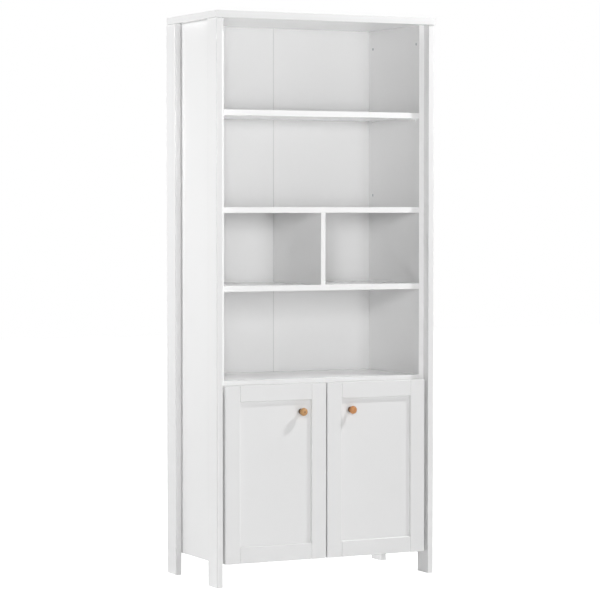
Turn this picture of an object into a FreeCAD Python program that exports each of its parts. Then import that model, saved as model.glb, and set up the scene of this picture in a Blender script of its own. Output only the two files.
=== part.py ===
"""Tall white bookcase with a two door cabinet, in millimetres.

X runs to the right, Y to the back and Z up. The origin is on the floor, under the middle of the box
that holds the whole bookcase, knobs and rear posts included. The doors face -Y.
"""
import FreeCAD, Part
import os
import re

import Sketcher

doc = FreeCAD.newDocument("bookcase")
sheet = doc.addObject("Spreadsheet::Sheet", "sizes")

SIZES = {
    "Whole": {
        "width_over_posts": 772,
        "leg_height": 72,
    },
    "Boards": {
        "board_thickness": 18,
        "divider_thickness": 16,
        "side_depth": 350,
        "top_thickness": 22,
        "top_overhang": 4,
        "edge_round": 1,
        "edge_ease": 0.5,
        "fit_clearance": 0.2,
        "shelf_play": 0.5,
        "shelf_inset": 30,
    },
    "Posts": {
        "post_thickness": 20,
        "post_width": 70,
        "post_reach": 30,
        "rear_standoff": 11,
        "post_edge_round": 2,
    },
    "Clear heights between boards": {
        "cabinet_shelf_rise": 250,
        "counter_bay_height": 279,
        "cubby_bay_height": 229,
        "upper_bay_height": 287,
        "top_bay_height": 283,
    },
    "Back": {
        "back_thickness": 3,
        "rebate_depth": 5,
        "rebate_width": 8,
        "strip_width": 18,
        "strip_flange": 1.5,
        "strip_web": 1.2,
        "nail_shank": 1.6,
        "nail_length": 18,
        "nail_head": 4,
        "nail_head_height": 0.8,
        "nail_margin": 40,
    },
    "Doors": {
        "door_height": 560,
        "door_lap": 4,
        "door_thickness": 20,
        "door_behind_post": 4,
        "door_post_gap": 10,
        "door_meeting_gap": 4,
        "door_edge_ease": 2,
        "frame_width": 52,
        "panel_thickness": 6,
        "panel_recess": 8,
        "groove_depth": 10,
        "bumper_diameter": 8,
        "bumper_margin": 12,
    },
    "Knobs": {
        "knob_diameter": 26,
        "knob_height": 28,
        "knob_head_height": 12,
        "knob_front_round": 3,
        "knob_rear_round": 4,
        "knob_neck": 12,
        "knob_foot": 20,
        "knob_foot_height": 3,
        "knob_from_meeting_edge": 86,
        "knob_below_top": 89,
        "knob_screw": 4,
        "knob_screw_head": 8,
        "knob_screw_head_height": 2.2,
        "knob_screw_depth": 14,
    },
    "Hinges": {
        "cup_diameter": 35,
        "cup_depth": 13,
        "cup_wall": 1,
        "cup_from_edge": 4,
        "flange_height": 62,
        "flange_width": 14,
        "flange_thickness": 1.2,
        "pin_diameter": 3,
        "pin_clearance": 0.05,
        "pin_from_edge": 9.5,
        "pin_from_back": 9,
        "hinge_from_end": 80,
        "lug_gap": 1.2,
        "lug_thickness": 3.6,
        "arm_width": 10,
        "arm_thickness": 3.2,
        "arm_eye": 5.2,
        "arm_crank": 14.2,
        "arm_length": 70,
        "plate_thickness": 2,
        "plate_height": 46,
        "plate_wing": 14,
        "plate_front": 37,
        "plate_length": 44,
        "hinge_screw": 3.5,
        "hinge_screw_head": 7,
        "hinge_screw_head_height": 1.8,
        "hinge_screw_depth": 11,
        "hinge_screw_spacing": 32,
        "cup_screw_spacing": 48,
    },
    "Cam fittings": {
        "cam_diameter": 15,
        "cam_depth": 12.5,
        "cam_setback": 34,
        "cam_from_front": 60,
        "cam_from_back": 70,
        "bolt_diameter": 6,
        "bolt_depth": 11,
        "bolt_head": 8,
        "cam_slot": 3,
        "dowel_diameter": 8,
        "dowel_length": 30,
        "dowel_inset": 32,
    },
    "Top fixings": {
        "top_screw": 5,
        "top_screw_head": 9,
        "top_screw_head_height": 3,
        "top_screw_length": 50,
        "top_screw_front": 60,
        "top_screw_rear": 70,
        "top_sink_depth": 7,
        "top_cap_diameter": 12,
        "top_cap_thickness": 3,
    },
    "Post screws": {
        "post_screw": 4,
        "post_screw_head": 9,
        "post_screw_head_height": 2.4,
        "post_screw_depth": 14,
        "post_screw_from_top": 60,
        "post_screw_above_shelf": 40,
        "post_screw_below_shelf": 38,
        "post_screw_front": 19,
        "post_screw_rear": 33,
    },
    "Shelf supports": {
        "support_pin": 5,
        "support_pin_depth": 9,
        "support_ledge": 12,
        "support_thickness": 2.5,
        "support_width": 12,
        "support_height": 12,
        "support_margin": 28,
    },
}

row = 1
for heading, group in SIZES.items():
    sheet.set(f"A{row}", heading)
    for alias, number in group.items():
        row += 1
        sheet.set(f"A{row}", alias.replace("_", " "))
        sheet.set(f"B{row}", str(number))
        sheet.setAlias(f"B{row}", alias)
    row += 2
ALIASES = {alias for group in SIZES.values() for alias in group}
doc.recompute()


def bound(formula):
    """The formula with each size's name turned into its cell."""
    return re.sub(r"[a-z_]+", lambda m: "sizes." + m[0] if m[0] in ALIASES else m[0], formula)


def bind(thing, **formulas):
    """Binds properties of an object to formulas of sizes; x, y and z are its place."""
    for name, formula in formulas.items():
        path = {"x": "Placement.Base.x", "y": "Placement.Base.y", "z": "Placement.Base.z"}.get(name, name)
        thing.setExpression(path, bound(formula))


def new_body(label, x="0", y="0", z="0"):
    body = doc.addObject("PartDesign::Body", label)
    body.Label = label
    bind(body, x=x, y=y, z=z)
    return body


def outline(body, name, role, points, lift="0"):
    """A closed sketch of straight lines on one of the body's own planes."""
    sketch = body.newObject("Sketcher::SketchObject", name)
    plane = next(f for f in body.Origin.OriginFeatures if f.Role == role)
    sketch.AttachmentSupport = [(plane, "")]
    sketch.MapMode = "FlatFace"
    sketch.setExpression("AttachmentOffset.Base.z", bound(lift))
    count = len(points)
    ring = Part.makeCircle(1).discretize(count + 1)[:count]
    for i in range(count):
        sketch.addGeometry(Part.LineSegment(ring[i], ring[(i + 1) % count]))
    for i in range(count):
        sketch.addConstraint(Sketcher.Constraint("Coincident", i, 2, (i + 1) % count, 1))
    for i, point in enumerate(points):
        for way, formula in zip("XY", point):
            sketch.addConstraint(Sketcher.Constraint("Distance" + way, -1, 1, i, 1, ring[i][way == "Y"]))
            last = sketch.ConstraintCount - 1
            sketch.renameConstraint(last, f"point_{i + 1}_{way.lower()}")
            sketch.setExpression(f"Constraints.point_{i + 1}_{way.lower()}", bound(formula))
    return sketch


def rectangle(body, name, role, low, high, lift="0"):
    (x, y), (u, v) = low, high
    return outline(body, name, role, [(x, y), (u, y), (u, v), (x, v)], lift)


def circle(body, name, role, centre, radius, lift="0"):
    sketch = body.newObject("Sketcher::SketchObject", name)
    plane = next(f for f in body.Origin.OriginFeatures if f.Role == role)
    sketch.AttachmentSupport = [(plane, "")]
    sketch.MapMode = "FlatFace"
    sketch.setExpression("AttachmentOffset.Base.z", bound(lift))
    sketch.addGeometry(Part.Circle(FreeCAD.Vector(1, 1, 0), FreeCAD.Vector(0, 0, 1), 1))
    for kind, name, formula in (("DistanceX", "across", centre[0]), ("DistanceY", "up", centre[1])):
        sketch.addConstraint(Sketcher.Constraint(kind, -1, 1, 0, 3, 1))
        sketch.renameConstraint(sketch.ConstraintCount - 1, name)
        sketch.setExpression("Constraints." + name, bound(formula))
    sketch.addConstraint(Sketcher.Constraint("Radius", 0, 1))
    sketch.renameConstraint(sketch.ConstraintCount - 1, "radius")
    sketch.setExpression("Constraints.radius", bound(radius))
    return sketch


def pad(body, sketch, length, reverse=False):
    feature = body.newObject("PartDesign::Pad", sketch.Name + "_pad")
    feature.Profile = sketch
    feature.Reversed = reverse
    bind(feature, Length=length)
    sketch.Visibility = False
    return feature


def revolve(body, sketch, axis="V_Axis"):
    feature = body.newObject("PartDesign::Revolution", sketch.Name + "_turned")
    feature.Profile = sketch
    feature.ReferenceAxis = (sketch, [axis])
    feature.Angle = 360
    return feature


TURNS = {
    "+z": FreeCAD.Rotation(),
    "-z": FreeCAD.Rotation(FreeCAD.Vector(1, 0, 0), 180),
    "+x": FreeCAD.Rotation(FreeCAD.Vector(0, 1, 0), 90),
    "-x": FreeCAD.Rotation(FreeCAD.Vector(0, 1, 0), -90),
    "+y": FreeCAD.Rotation(FreeCAD.Vector(1, 0, 0), -90),
    "-y": FreeCAD.Rotation(FreeCAD.Vector(1, 0, 0), 90),
}


def bore(body, name, at, way, diameter, depth):
    """A round hole that starts at a point on the surface and runs into the piece."""
    hole = body.newObject("PartDesign::SubtractiveCylinder", name)
    hole.Placement.Rotation = TURNS[way]
    bind(hole, x=at[0], y=at[1], z=at[2], Radius=f"({diameter}) / 2", Height=depth)
    return hole


def notch(body, name, at, size):
    """A square-cornered cut, from its low corner."""
    cut = body.newObject("PartDesign::SubtractiveBox", name)
    bind(cut, x=at[0], y=at[1], z=at[2], Length=size[0], Width=size[1], Height=size[2])
    return cut


def soften(body, kind, size, edges=None):
    """Fillets or chamfers the edges that a test picks, or all of them."""
    doc.recompute()
    base = body.Tip
    names = [f"Edge{i + 1}" for i, edge in enumerate(base.Shape.Edges) if edges is None or edges(edge)]
    feature = body.newObject("PartDesign::" + kind, body.Name + "_" + kind.lower())
    feature.Base = (base, names)
    bind(feature, **{"Radius" if kind == "Fillet" else "Size": size})
    return feature


def board(label, low, size, kind="Chamfer", edge="edge_ease"):
    """A rectangular board, from its low corner, with its edges softened."""
    body = new_body(label, *low)
    face = rectangle(body, label + "_face", "XY_Plane", ("0", "0"), (size[0], size[1]))
    pad(body, face, size[2])
    soften(body, kind, edge)
    return body


def group(label, master, places):
    """Copies of one fastener, as separate solids of one piece; a place is x, y, z and a rotation."""
    copies = []
    for i, (x, y, z, turn) in enumerate(places):
        copy = doc.addObject("App::Link", f"{label}_{i + 1}")
        copy.LinkedObject = master
        copy.Placement.Rotation = turn
        bind(copy, x=x, y=y, z=z)
        copies.append(copy)
    whole = doc.addObject("Part::Compound", label)
    whole.Label = label
    whole.Links = copies
    return whole


pieces = []

SIDES = (("left", -1), ("right", 1))
UPRIGHT = FreeCAD.Rotation()
UPSIDE_DOWN = FreeCAD.Rotation(FreeCAD.Vector(0, 1, 0), 180)

side_outer = "(width_over_posts / 2 - post_thickness)"
inner_half = "(width_over_posts / 2 - post_thickness - board_thickness)"
knob_reach = "(post_reach - door_behind_post - panel_recess + knob_height)"
edge_y = f"(({knob_reach} - side_depth - rear_standoff) / 2)"
door_top = "(leg_height + door_height)"
cabinet_shelf_height = "(leg_height + board_thickness + cabinet_shelf_rise)"
cabinet_top_height = f"({door_top} - door_lap)"
lower_shelf_height = f"({cabinet_top_height} + board_thickness + counter_bay_height)"
middle_shelf_height = f"({lower_shelf_height} + board_thickness + cubby_bay_height)"
upper_shelf_height = f"({middle_shelf_height} + board_thickness + upper_bay_height)"
underside = f"({upper_shelf_height} + board_thickness + top_bay_height)"
overall_height = f"({underside} + top_thickness)"
back_y = f"({edge_y} + side_depth - rebate_depth)"
shelf_depth = "(side_depth - rebate_depth - strip_flange - fit_clearance)"
door_front = f"({edge_y} - post_reach + door_behind_post)"
door_back = f"({door_front} + door_thickness)"
door_edge = f"({side_outer} - door_post_gap)"
door_width = f"({door_edge} - door_meeting_gap / 2)"
cam_rear = "(side_depth - cam_from_back)"
FIXED_BOARDS = {
    "cabinet_floor": "leg_height",
    "cabinet_top": cabinet_top_height,
    "lower_shelf": lower_shelf_height,
    "middle_shelf": middle_shelf_height,
}
CAM_ENDS = (("front", "cam_from_front", "dowel_inset"), ("rear", cam_rear, "-dowel_inset"))
HINGE_HEIGHTS = ("(leg_height + hinge_from_end)", f"({door_top} - hinge_from_end)")


def from_middle(sign, near, width="0"):
    """The low X of what starts this far from the middle of the bookcase, on either side."""
    return near if sign > 0 else f"-({near}) - ({width})"


def from_inward_face(sign, near, width, full):
    """The low x, inside a piece, of what starts this far from the face nearest the middle."""
    return near if sign > 0 else f"({full}) - ({near}) - ({width})"


def outward(sign):
    return "+x" if sign > 0 else "-x"


def turned(sign):
    return UPRIGHT if sign > 0 else UPSIDE_DOWN


def screw(name, shank, head, head_height, length):
    """A plain pan head screw that points up, its head below the origin."""
    body = new_body(name)
    pad(body, circle(body, name + "_shank", "XY_Plane", ("0", "0"), f"{shank} / 2"), length)
    pad(body, circle(body, name + "_head", "XY_Plane", ("0", "0"), f"{head} / 2"), head_height, True)
    return body


# Top: one thick board, eased all round, with a rebate under its rear edge for the back panels.
top = board(
    "top_panel",
    ("-width_over_posts / 2 - top_overhang", f"{edge_y} - post_reach - top_overhang", underside),
    ("width_over_posts + 2 * top_overhang", "side_depth + post_reach + top_overhang", "top_thickness"),
    "Fillet",
    "edge_round",
)
top_front = "(post_reach + top_overhang)"
notch(
    top,
    "top_rebate",
    (f"top_overhang + width_over_posts / 2 - {inner_half} - rebate_width",
     f"{top_front} + side_depth - rebate_depth", "0"),
    (f"2 * ({inner_half} + rebate_width)", "rebate_depth", "rebate_width"),
)
pieces.append(top)

# Side panels, with a rebate for the back and holes for every fitting that enters them.
screw_z = {
    "high": f"({underside} - post_screw_from_top)",
    "middle": f"({middle_shelf_height} + board_thickness + post_screw_above_shelf)",
    "low": f"({cabinet_top_height} - post_screw_below_shelf)",
}
POST_SCREWS = (
    ("post_screw_front", "high"),
    ("post_screw_front", "low"),
    ("(side_depth - post_screw_rear)", "high"),
    ("(side_depth - post_screw_rear)", "middle"),
    ("(side_depth - post_screw_rear)", "low"),
)
side_dowel = "(board_thickness * 2 / 3)"
sides = {}
for side, sign in SIDES:
    panel = board(
        f"side_panel_{side}",
        (from_middle(sign, inner_half, "board_thickness"), edge_y, "leg_height"),
        ("board_thickness", "side_depth", f"{underside} - leg_height"),
    )
    sides[side] = panel
    rebate_x = from_inward_face(sign, "0", "rebate_width", "board_thickness")
    notch(
        panel,
        f"side_rebate_{side}",
        (rebate_x, "side_depth - rebate_depth", "0"),
        ("rebate_width", "rebate_depth", f"{underside} - leg_height"),
    )
    face_x = from_inward_face(sign, "0", "0", "board_thickness")
    for name, height in FIXED_BOARDS.items():
        z = f"{height} + board_thickness / 2 - leg_height"
        for end, y, step in CAM_ENDS:
            way = outward(sign)
            bore(panel, f"{name}_bolt_{end}_{side}", (face_x, y, z), way, "bolt_diameter", "bolt_depth")
            bore(
                panel,
                f"{name}_dowel_{end}_{side}",
                (face_x, f"{y} + ({step})", z),
                way,
                "dowel_diameter + fit_clearance",
                f"{side_dowel} + fit_clearance",
            )
    for i, (y, level) in enumerate(POST_SCREWS):
        bore(
            panel,
            f"post_screw_hole_{i + 1}_{side}",
            (face_x, y, f"{screw_z[level]} - leg_height"),
            outward(sign),
            "post_screw + fit_clearance",
            "board_thickness",
        )
    pieces.append(panel)

# Posts: four planks screwed to the outer faces of the side panels, from the floor to the top.
for side, sign in SIDES:
    for end, y in (("front", f"{edge_y} - post_reach"),
                   ("rear", f"{edge_y} + side_depth + rear_standoff - post_width")):
        post = board(
            f"post_{end}_{side}",
            (from_middle(sign, side_outer, "post_thickness"), y, "0"),
            ("post_thickness", "post_width", underside),
            "Fillet",
            "post_edge_round",
        )
        face_x = from_inward_face(sign, "0", "0", "post_thickness")
        shift = "post_reach" if end == "front" else "(post_width - side_depth - rear_standoff)"
        for i, (screw_y, level) in enumerate(POST_SCREWS):
            if ("front" in screw_y) == (end == "front"):
                bore(
                    post,
                    f"pilot_{i + 1}_{end}_{side}",
                    (face_x, f"{screw_y} + {shift}", screw_z[level]),
                    outward(sign),
                    "post_screw",
                    "post_screw_depth",
                )
        pieces.append(post)

# Fixed boards: each hangs between the side panels on dowels and cam fittings set in its underside.
fixed = {}
for name, height in FIXED_BOARDS.items():
    shelf = board(
        name, (f"-{inner_half}", edge_y, height), (f"2 * {inner_half}", shelf_depth, "board_thickness")
    )
    fixed[name] = shelf
    for side, sign in SIDES:
        end_x = from_inward_face(-sign, "0", "0", f"2 * {inner_half}")
        cam_x = from_inward_face(-sign, "cam_setback", "0", f"2 * {inner_half}")
        way = outward(-sign)
        for end, y, step in CAM_ENDS:
            tag = f"{name}_{end}_{side}"
            middle = "board_thickness / 2"
            bore(shelf, f"cam_{tag}", (cam_x, y, "0"), "+z", "cam_diameter + fit_clearance", "cam_depth")
            bore(shelf, f"shank_{tag}", (end_x, y, middle), way, "bolt_head + fit_clearance", "cam_setback")
            bore(
                shelf,
                f"dowel_{tag}",
                (end_x, f"{y} + ({step})", middle),
                way,
                "dowel_diameter + fit_clearance",
                f"dowel_length - {side_dowel} + fit_clearance",
            )
    pieces.append(shelf)

# Divider between the two middle shelves, on upright dowels.
divider = board(
    "cubby_divider",
    ("-divider_thickness / 2", edge_y, f"{lower_shelf_height} + board_thickness"),
    ("divider_thickness", shelf_depth, "cubby_bay_height"),
)
DIVIDER_DOWELS = ("cam_from_front", cam_rear)
shelf_dowel = "(board_thickness / 2)"
for i, y in enumerate(DIVIDER_DOWELS):
    hole = ("dowel_diameter + fit_clearance", f"dowel_length - {shelf_dowel} + fit_clearance")
    bore(divider, f"divider_low_{i + 1}", ("divider_thickness / 2", y, "0"), "+z", *hole)
    bore(divider, f"divider_high_{i + 1}", ("divider_thickness / 2", y, "cubby_bay_height"), "-z", *hole)
    hole = ("dowel_diameter + fit_clearance", f"{shelf_dowel} + fit_clearance")
    bore(fixed["lower_shelf"], f"lower_socket_{i + 1}", (inner_half, y, "board_thickness"), "-z", *hole)
    bore(fixed["middle_shelf"], f"middle_socket_{i + 1}", (inner_half, y, "0"), "+z", *hole)
pieces.append(divider)

# Loose shelves: they rest on four plastic supports each.
LOOSE_SHELVES = {
    "upper_shelf": (upper_shelf_height, "0"),
    "cabinet_shelf": (cabinet_shelf_height, "shelf_inset"),
}
for name, (height, inset) in LOOSE_SHELVES.items():
    pieces.append(board(
        name,
        (f"shelf_play - {inner_half}", f"{edge_y} + {inset}", height),
        (f"2 * {inner_half} - 2 * shelf_play", f"{shelf_depth} - {inset}", "board_thickness"),
    ))

# Shelf support: an angle whose peg sits in the side panel; the shelf lies on its ledge.
support = new_body("support_master")
angle = outline(support, "support_angle", "XZ_Plane", [
    ("0", "0"),
    ("-support_ledge", "0"),
    ("-support_ledge", "-support_thickness"),
    ("-support_thickness", "-support_thickness"),
    ("-support_thickness", "-support_height"),
    ("0", "-support_height"),
], "-support_width / 2")
pad(support, angle, "support_width")
peg = support.newObject("PartDesign::AdditiveCylinder", "support_peg")
peg.Placement.Rotation = TURNS["+x"]
bind(peg, x="0", y="0", z="-support_height / 2", Radius="support_pin / 2", Height="support_pin_depth")
for name, (height, inset) in LOOSE_SHELVES.items():
    places = []
    for side, sign in SIDES:
        turn = UPRIGHT if sign > 0 else FreeCAD.Rotation(FreeCAD.Vector(0, 0, 1), 180)
        face_x = from_inward_face(sign, "0", "0", "board_thickness")
        ends = (("front", f"({inset} + support_margin)"), ("rear", f"({shelf_depth} - support_margin)"))
        for end, y in ends:
            places.append((from_middle(sign, inner_half), f"{edge_y} + {y}", height, turn))
            bore(
                sides[side],
                f"{name}_peg_{end}_{side}",
                (face_x, y, f"{height} - support_height / 2 - leg_height"),
                outward(sign),
                "support_pin + fit_clearance",
                "support_pin_depth + fit_clearance",
            )
    pieces.append(group(f"{name}_supports", support, places))

# Back: two thin panels in the rebates, joined down the middle by an H shaped plastic strip.
for side, sign in SIDES:
    width = f"({inner_half} + rebate_width - strip_web / 2 - 2 * fit_clearance)"
    pieces.append(board(
        f"back_panel_{side}",
        (from_middle(sign, "strip_web / 2 + fit_clearance", width), back_y, "leg_height"),
        (width, "back_thickness", f"{underside} - leg_height + rebate_width - fit_clearance"),
        edge="fit_clearance",
    ))
strip = new_body("back_joint_strip", "0", back_y, "leg_height")
near, far = "-fit_clearance / 2", "back_thickness + fit_clearance"
wide, thin = "strip_width / 2", "strip_web / 2"
profile = outline(strip, "strip_profile", "XY_Plane", [
    (f"-{wide}", "-strip_flange"), (wide, "-strip_flange"),
    (wide, near), (thin, near), (thin, far), (wide, far),
    (wide, f"{far} + strip_flange"), (f"-{wide}", f"{far} + strip_flange"),
    (f"-{wide}", far), (f"-{thin}", far), (f"-{thin}", near), (f"-{wide}", near),
])
pad(strip, profile, f"{underside} - leg_height")
pieces.append(strip)

# Nails through the back panels into the fixed boards and the side panels.
nail = screw("nail_master", "nail_shank", "nail_head", "nail_head_height", "nail_length")
nail_y = f"{back_y} + back_thickness"
INTO_BACK = TURNS["-y"]
NAIL_SHARES = (1 / 6, 1 / 2, 5 / 6)
SIDE_NAILS = 7
nail_places = []
for side, sign in SIDES:
    for height in FIXED_BOARDS.values():
        for share in NAIL_SHARES:
            x = from_middle(sign, f"{inner_half} * {share}")
            nail_places.append((x, nail_y, f"{height} + board_thickness / 2", INTO_BACK))
    for i in range(SIDE_NAILS):
        share = f"{i} / {SIDE_NAILS - 1}"
        z = f"leg_height + nail_margin + ({underside} - leg_height - 2 * nail_margin) * {share}"
        x = from_middle(sign, f"{inner_half} + rebate_width / 2")
        nail_places.append((x, nail_y, z, INTO_BACK))
pieces.append(group("back_nails", nail, nail_places))

# Cam fittings: a slotted zinc cam in each board and a headed steel bolt in the side panel.
cam = new_body("cam_master")
pad(cam, circle(cam, "cam_round", "XY_Plane", ("0", "0"), "cam_diameter / 2"), "cam_depth - fit_clearance")
notch(
    cam,
    "cam_mouth",
    (
        "-bolt_head / 2",
        "-bolt_head / 2 - fit_clearance",
        "board_thickness / 2 - bolt_head / 2 - fit_clearance",
    ),
    ("cam_diameter", "bolt_head + 2 * fit_clearance", "cam_depth"),
)
notch(
    cam,
    "cam_slot",
    ("-cam_slot * 3 / 2", "-cam_slot / 2", "0"),
    ("cam_slot * 3", "cam_slot", "cam_slot / 2"),
)
bolt = new_body("bolt_master")
bolt_reach = "(cam_setback - bolt_head / 2)"
shank_radius = "bolt_diameter / 2 - fit_clearance"
shank = circle(bolt, "bolt_shank", "YZ_Plane", ("0", "0"), shank_radius, "-bolt_depth")
pad(bolt, shank, f"bolt_depth + {bolt_reach}")
head = circle(bolt, "bolt_ball", "YZ_Plane", ("0", "0"), "bolt_head / 2", bolt_reach)
pad(bolt, head, "bolt_head / 2")
dowel = new_body("dowel_master")
pad(dowel, circle(dowel, "dowel_round", "YZ_Plane", ("0", "0"), "dowel_diameter / 2"), "dowel_length")
soften(dowel, "Chamfer", "edge_round")
cam_places, bolt_places, dowel_places = [], [], []
for side, sign in SIDES:
    inwards = FreeCAD.Rotation(FreeCAD.Vector(0, 0, 1), 180 if sign > 0 else 0)
    for height in FIXED_BOARDS.values():
        for _, y, step in CAM_ENDS:
            y = f"{edge_y} + {y}"
            z = f"{height} + board_thickness / 2"
            facing = FreeCAD.Rotation(FreeCAD.Vector(0, 0, 1), 0 if sign > 0 else 180)
            cam_places.append((from_middle(sign, f"{inner_half} - cam_setback"), y, height, facing))
            bolt_places.append((from_middle(sign, inner_half), y, z, inwards))
            x = from_middle(sign, f"{inner_half} + {side_dowel}")
            dowel_places.append((x, f"{y} + ({step})", z, inwards))
STAND = FreeCAD.Rotation(FreeCAD.Vector(0, 1, 0), -90)
for y in DIVIDER_DOWELS:
    low = f"{lower_shelf_height} + board_thickness - {shelf_dowel}"
    high = f"{middle_shelf_height} + {shelf_dowel} - dowel_length"
    for z in (low, high):
        dowel_places.append(("0", f"{edge_y} + {y}", z, STAND))
pieces.append(group("cam_locks", cam, cam_places))
pieces.append(group("cam_bolts", bolt, bolt_places))

# Top fixings: dowels and long screws from above, whose heads lie under flush plastic caps.
TOP_SCREWS = ("top_screw_front", "(side_depth - top_screw_rear)")
TOP_DOWELS = ("(top_screw_front + dowel_inset)", "(side_depth - top_screw_rear - dowel_inset)")
top_dowel = "(top_thickness / 2)"
for side, sign in SIDES:
    centre = f"({inner_half} + board_thickness / 2)"
    x = f"top_overhang + width_over_posts / 2 + ({'-' if sign < 0 else ''}{centre})"
    panel_top = f"{underside} - leg_height"
    for i, y in enumerate(TOP_SCREWS):
        tag = f"{i + 1}_{side}"
        at = (x, f"{top_front} + {y}", "top_thickness")
        bore(top, f"top_sink_{tag}", at, "-z", "top_cap_diameter + fit_clearance", "top_sink_depth")
        bore(top, f"top_hole_{tag}", at, "-z", "top_screw + fit_clearance", "top_thickness")
        at = ("board_thickness / 2", y, panel_top)
        bore(sides[side], f"top_pilot_{tag}", at, "-z", "top_screw", "top_screw_length")
    for i, y in enumerate(TOP_DOWELS):
        tag = f"{i + 1}_{side}"
        hole = ("dowel_diameter + fit_clearance", f"{top_dowel} + fit_clearance")
        bore(top, f"top_socket_{tag}", (x, f"{top_front} + {y}", "0"), "+z", *hole)
        hole = ("dowel_diameter + fit_clearance", f"dowel_length - {top_dowel} + fit_clearance")
        bore(sides[side], f"side_socket_{tag}", ("board_thickness / 2", y, panel_top), "-z", *hole)
        z = f"{underside} + {top_dowel} - dowel_length"
        dowel_places.append((from_middle(sign, centre), f"{edge_y} + {y}", z, STAND))
pieces.append(group("dowels", dowel, dowel_places))
long_screw = screw(
    "top_screw_master",
    "top_screw",
    "top_screw_head",
    "top_screw_head_height",
    "top_screw_length",
)
cap = new_body("cap_master")
cap_round = circle(cap, "cap_round", "XY_Plane", ("0", "0"), "top_cap_diameter / 2")
pad(cap, cap_round, "top_cap_thickness", True)
screw_places, cap_places = [], []
for side, sign in SIDES:
    x = from_middle(sign, f"({inner_half} + board_thickness / 2)")
    for y in TOP_SCREWS:
        screw_places.append((x, f"{edge_y} + {y}", f"{overall_height} - top_sink_depth", TURNS["-z"]))
        cap_places.append((x, f"{edge_y} + {y}", overall_height, UPRIGHT))
pieces.append(group("top_screws", long_screw, screw_places))
pieces.append(group("top_screw_caps", cap, cap_places))

# Post screws: pan heads that show on the inner faces of the side panels.
post_screw = screw(
    "post_screw_master",
    "(post_screw - fit_clearance)",
    "post_screw_head",
    "post_screw_head_height",
    "board_thickness + post_screw_depth - fit_clearance",
)
places = []
for side, sign in SIDES:
    for y, level in POST_SCREWS:
        x = from_middle(sign, inner_half)
        places.append((x, f"{edge_y} + {y}", screw_z[level], TURNS[outward(sign)]))
pieces.append(group("post_screws", post_screw, places))

# Doors: each is a frame of two stiles and two rails round a thin panel that floats in their grooves.
groove = "(panel_thickness + fit_clearance)"
groove_y = "(panel_recess - fit_clearance / 2)"
tongue = "(groove_depth - fit_clearance)"
opening_width = f"({door_width} - 2 * frame_width)"
cup_centre = "(cup_from_edge + cup_diameter / 2)"
for side, sign in SIDES:
    tag = f"{side}_door"
    hinge_stile = board(
        f"{tag}_hinge_stile",
        (from_middle(sign, f"{door_edge} - frame_width", "frame_width"), door_front, "leg_height"),
        ("frame_width", "door_thickness", "door_height"),
        edge="door_edge_ease",
    )
    meeting_stile = board(
        f"{tag}_meeting_stile",
        (from_middle(sign, "door_meeting_gap / 2", "frame_width"), door_front, "leg_height"),
        ("frame_width", "door_thickness", "door_height"),
        edge="door_edge_ease",
    )
    for stile, near in ((hinge_stile, "0"), (meeting_stile, "frame_width - groove_depth")):
        x = from_inward_face(sign, near, "groove_depth", "frame_width")
        notch(stile, stile.Name + "_groove", (x, groove_y, "0"), ("groove_depth", groove, "door_height"))
        pieces.append(stile)
    cup_x = from_inward_face(-sign, cup_centre, "0", "frame_width")
    for i, height in enumerate(HINGE_HEIGHTS):
        z = f"{height} - leg_height"
        bore(
            hinge_stile,
            f"{tag}_cup_bore_{i + 1}",
            (cup_x, "door_thickness", z),
            "-y",
            "cup_diameter + 2 * fit_clearance",
            "cup_depth + fit_clearance",
        )
        for step in ("-cup_screw_spacing / 2", "cup_screw_spacing / 2"):
            bore(
                hinge_stile,
                f"{tag}_cup_pilot_{i + 1}_{'low' if step[0] == '-' else 'high'}",
                (cup_x, "door_thickness", f"{z} + ({step})"),
                "-y",
                "hinge_screw",
                "hinge_screw_depth + fit_clearance",
            )
    rail_x = from_middle(sign, "door_meeting_gap / 2 + frame_width", opening_width)
    for name, z, groove_z, tongue_z in (
        ("bottom_rail", "leg_height", "frame_width - groove_depth", "0"),
        ("top_rail", f"{door_top} - frame_width", "0", "groove_depth"),
    ):
        rail = board(
            f"{tag}_{name}",
            (rail_x, door_front, z),
            (opening_width, "door_thickness", "frame_width"),
            edge="door_edge_ease",
        )
        size = (opening_width, groove, "groove_depth")
        notch(rail, rail.Name + "_groove", ("0", groove_y, groove_z), size)
        tenon = rail.newObject("PartDesign::AdditiveBox", rail.Name + "_tongue")
        bind(
            tenon,
            x=f"-{tongue}",
            y="panel_recess",
            z=f"{tongue_z} + fit_clearance / 2",
            Length=f"{opening_width} + 2 * {tongue}",
            Width="panel_thickness",
            Height="frame_width - groove_depth - fit_clearance",
        )
        pieces.append(rail)
    panel_width = f"({opening_width} + 2 * {tongue})"
    panel = board(
        f"{tag}_panel",
        (f"{rail_x} - {tongue}", f"{door_front} + panel_recess", f"leg_height + frame_width - {tongue}"),
        (panel_width, "panel_thickness", f"door_height - 2 * frame_width + 2 * {tongue}"),
        edge="fit_clearance",
    )
    from_tongue = f"knob_from_meeting_edge - frame_width + {tongue}"
    knob_x = from_inward_face(sign, from_tongue, "0", panel_width)
    knob_z = f"door_height - knob_below_top - frame_width + {tongue}"
    at = (knob_x, "0", knob_z)
    bore(panel, f"{tag}_knob_hole", at, "+y", "knob_screw + fit_clearance", "panel_thickness")
    pieces.append(panel)

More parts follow.
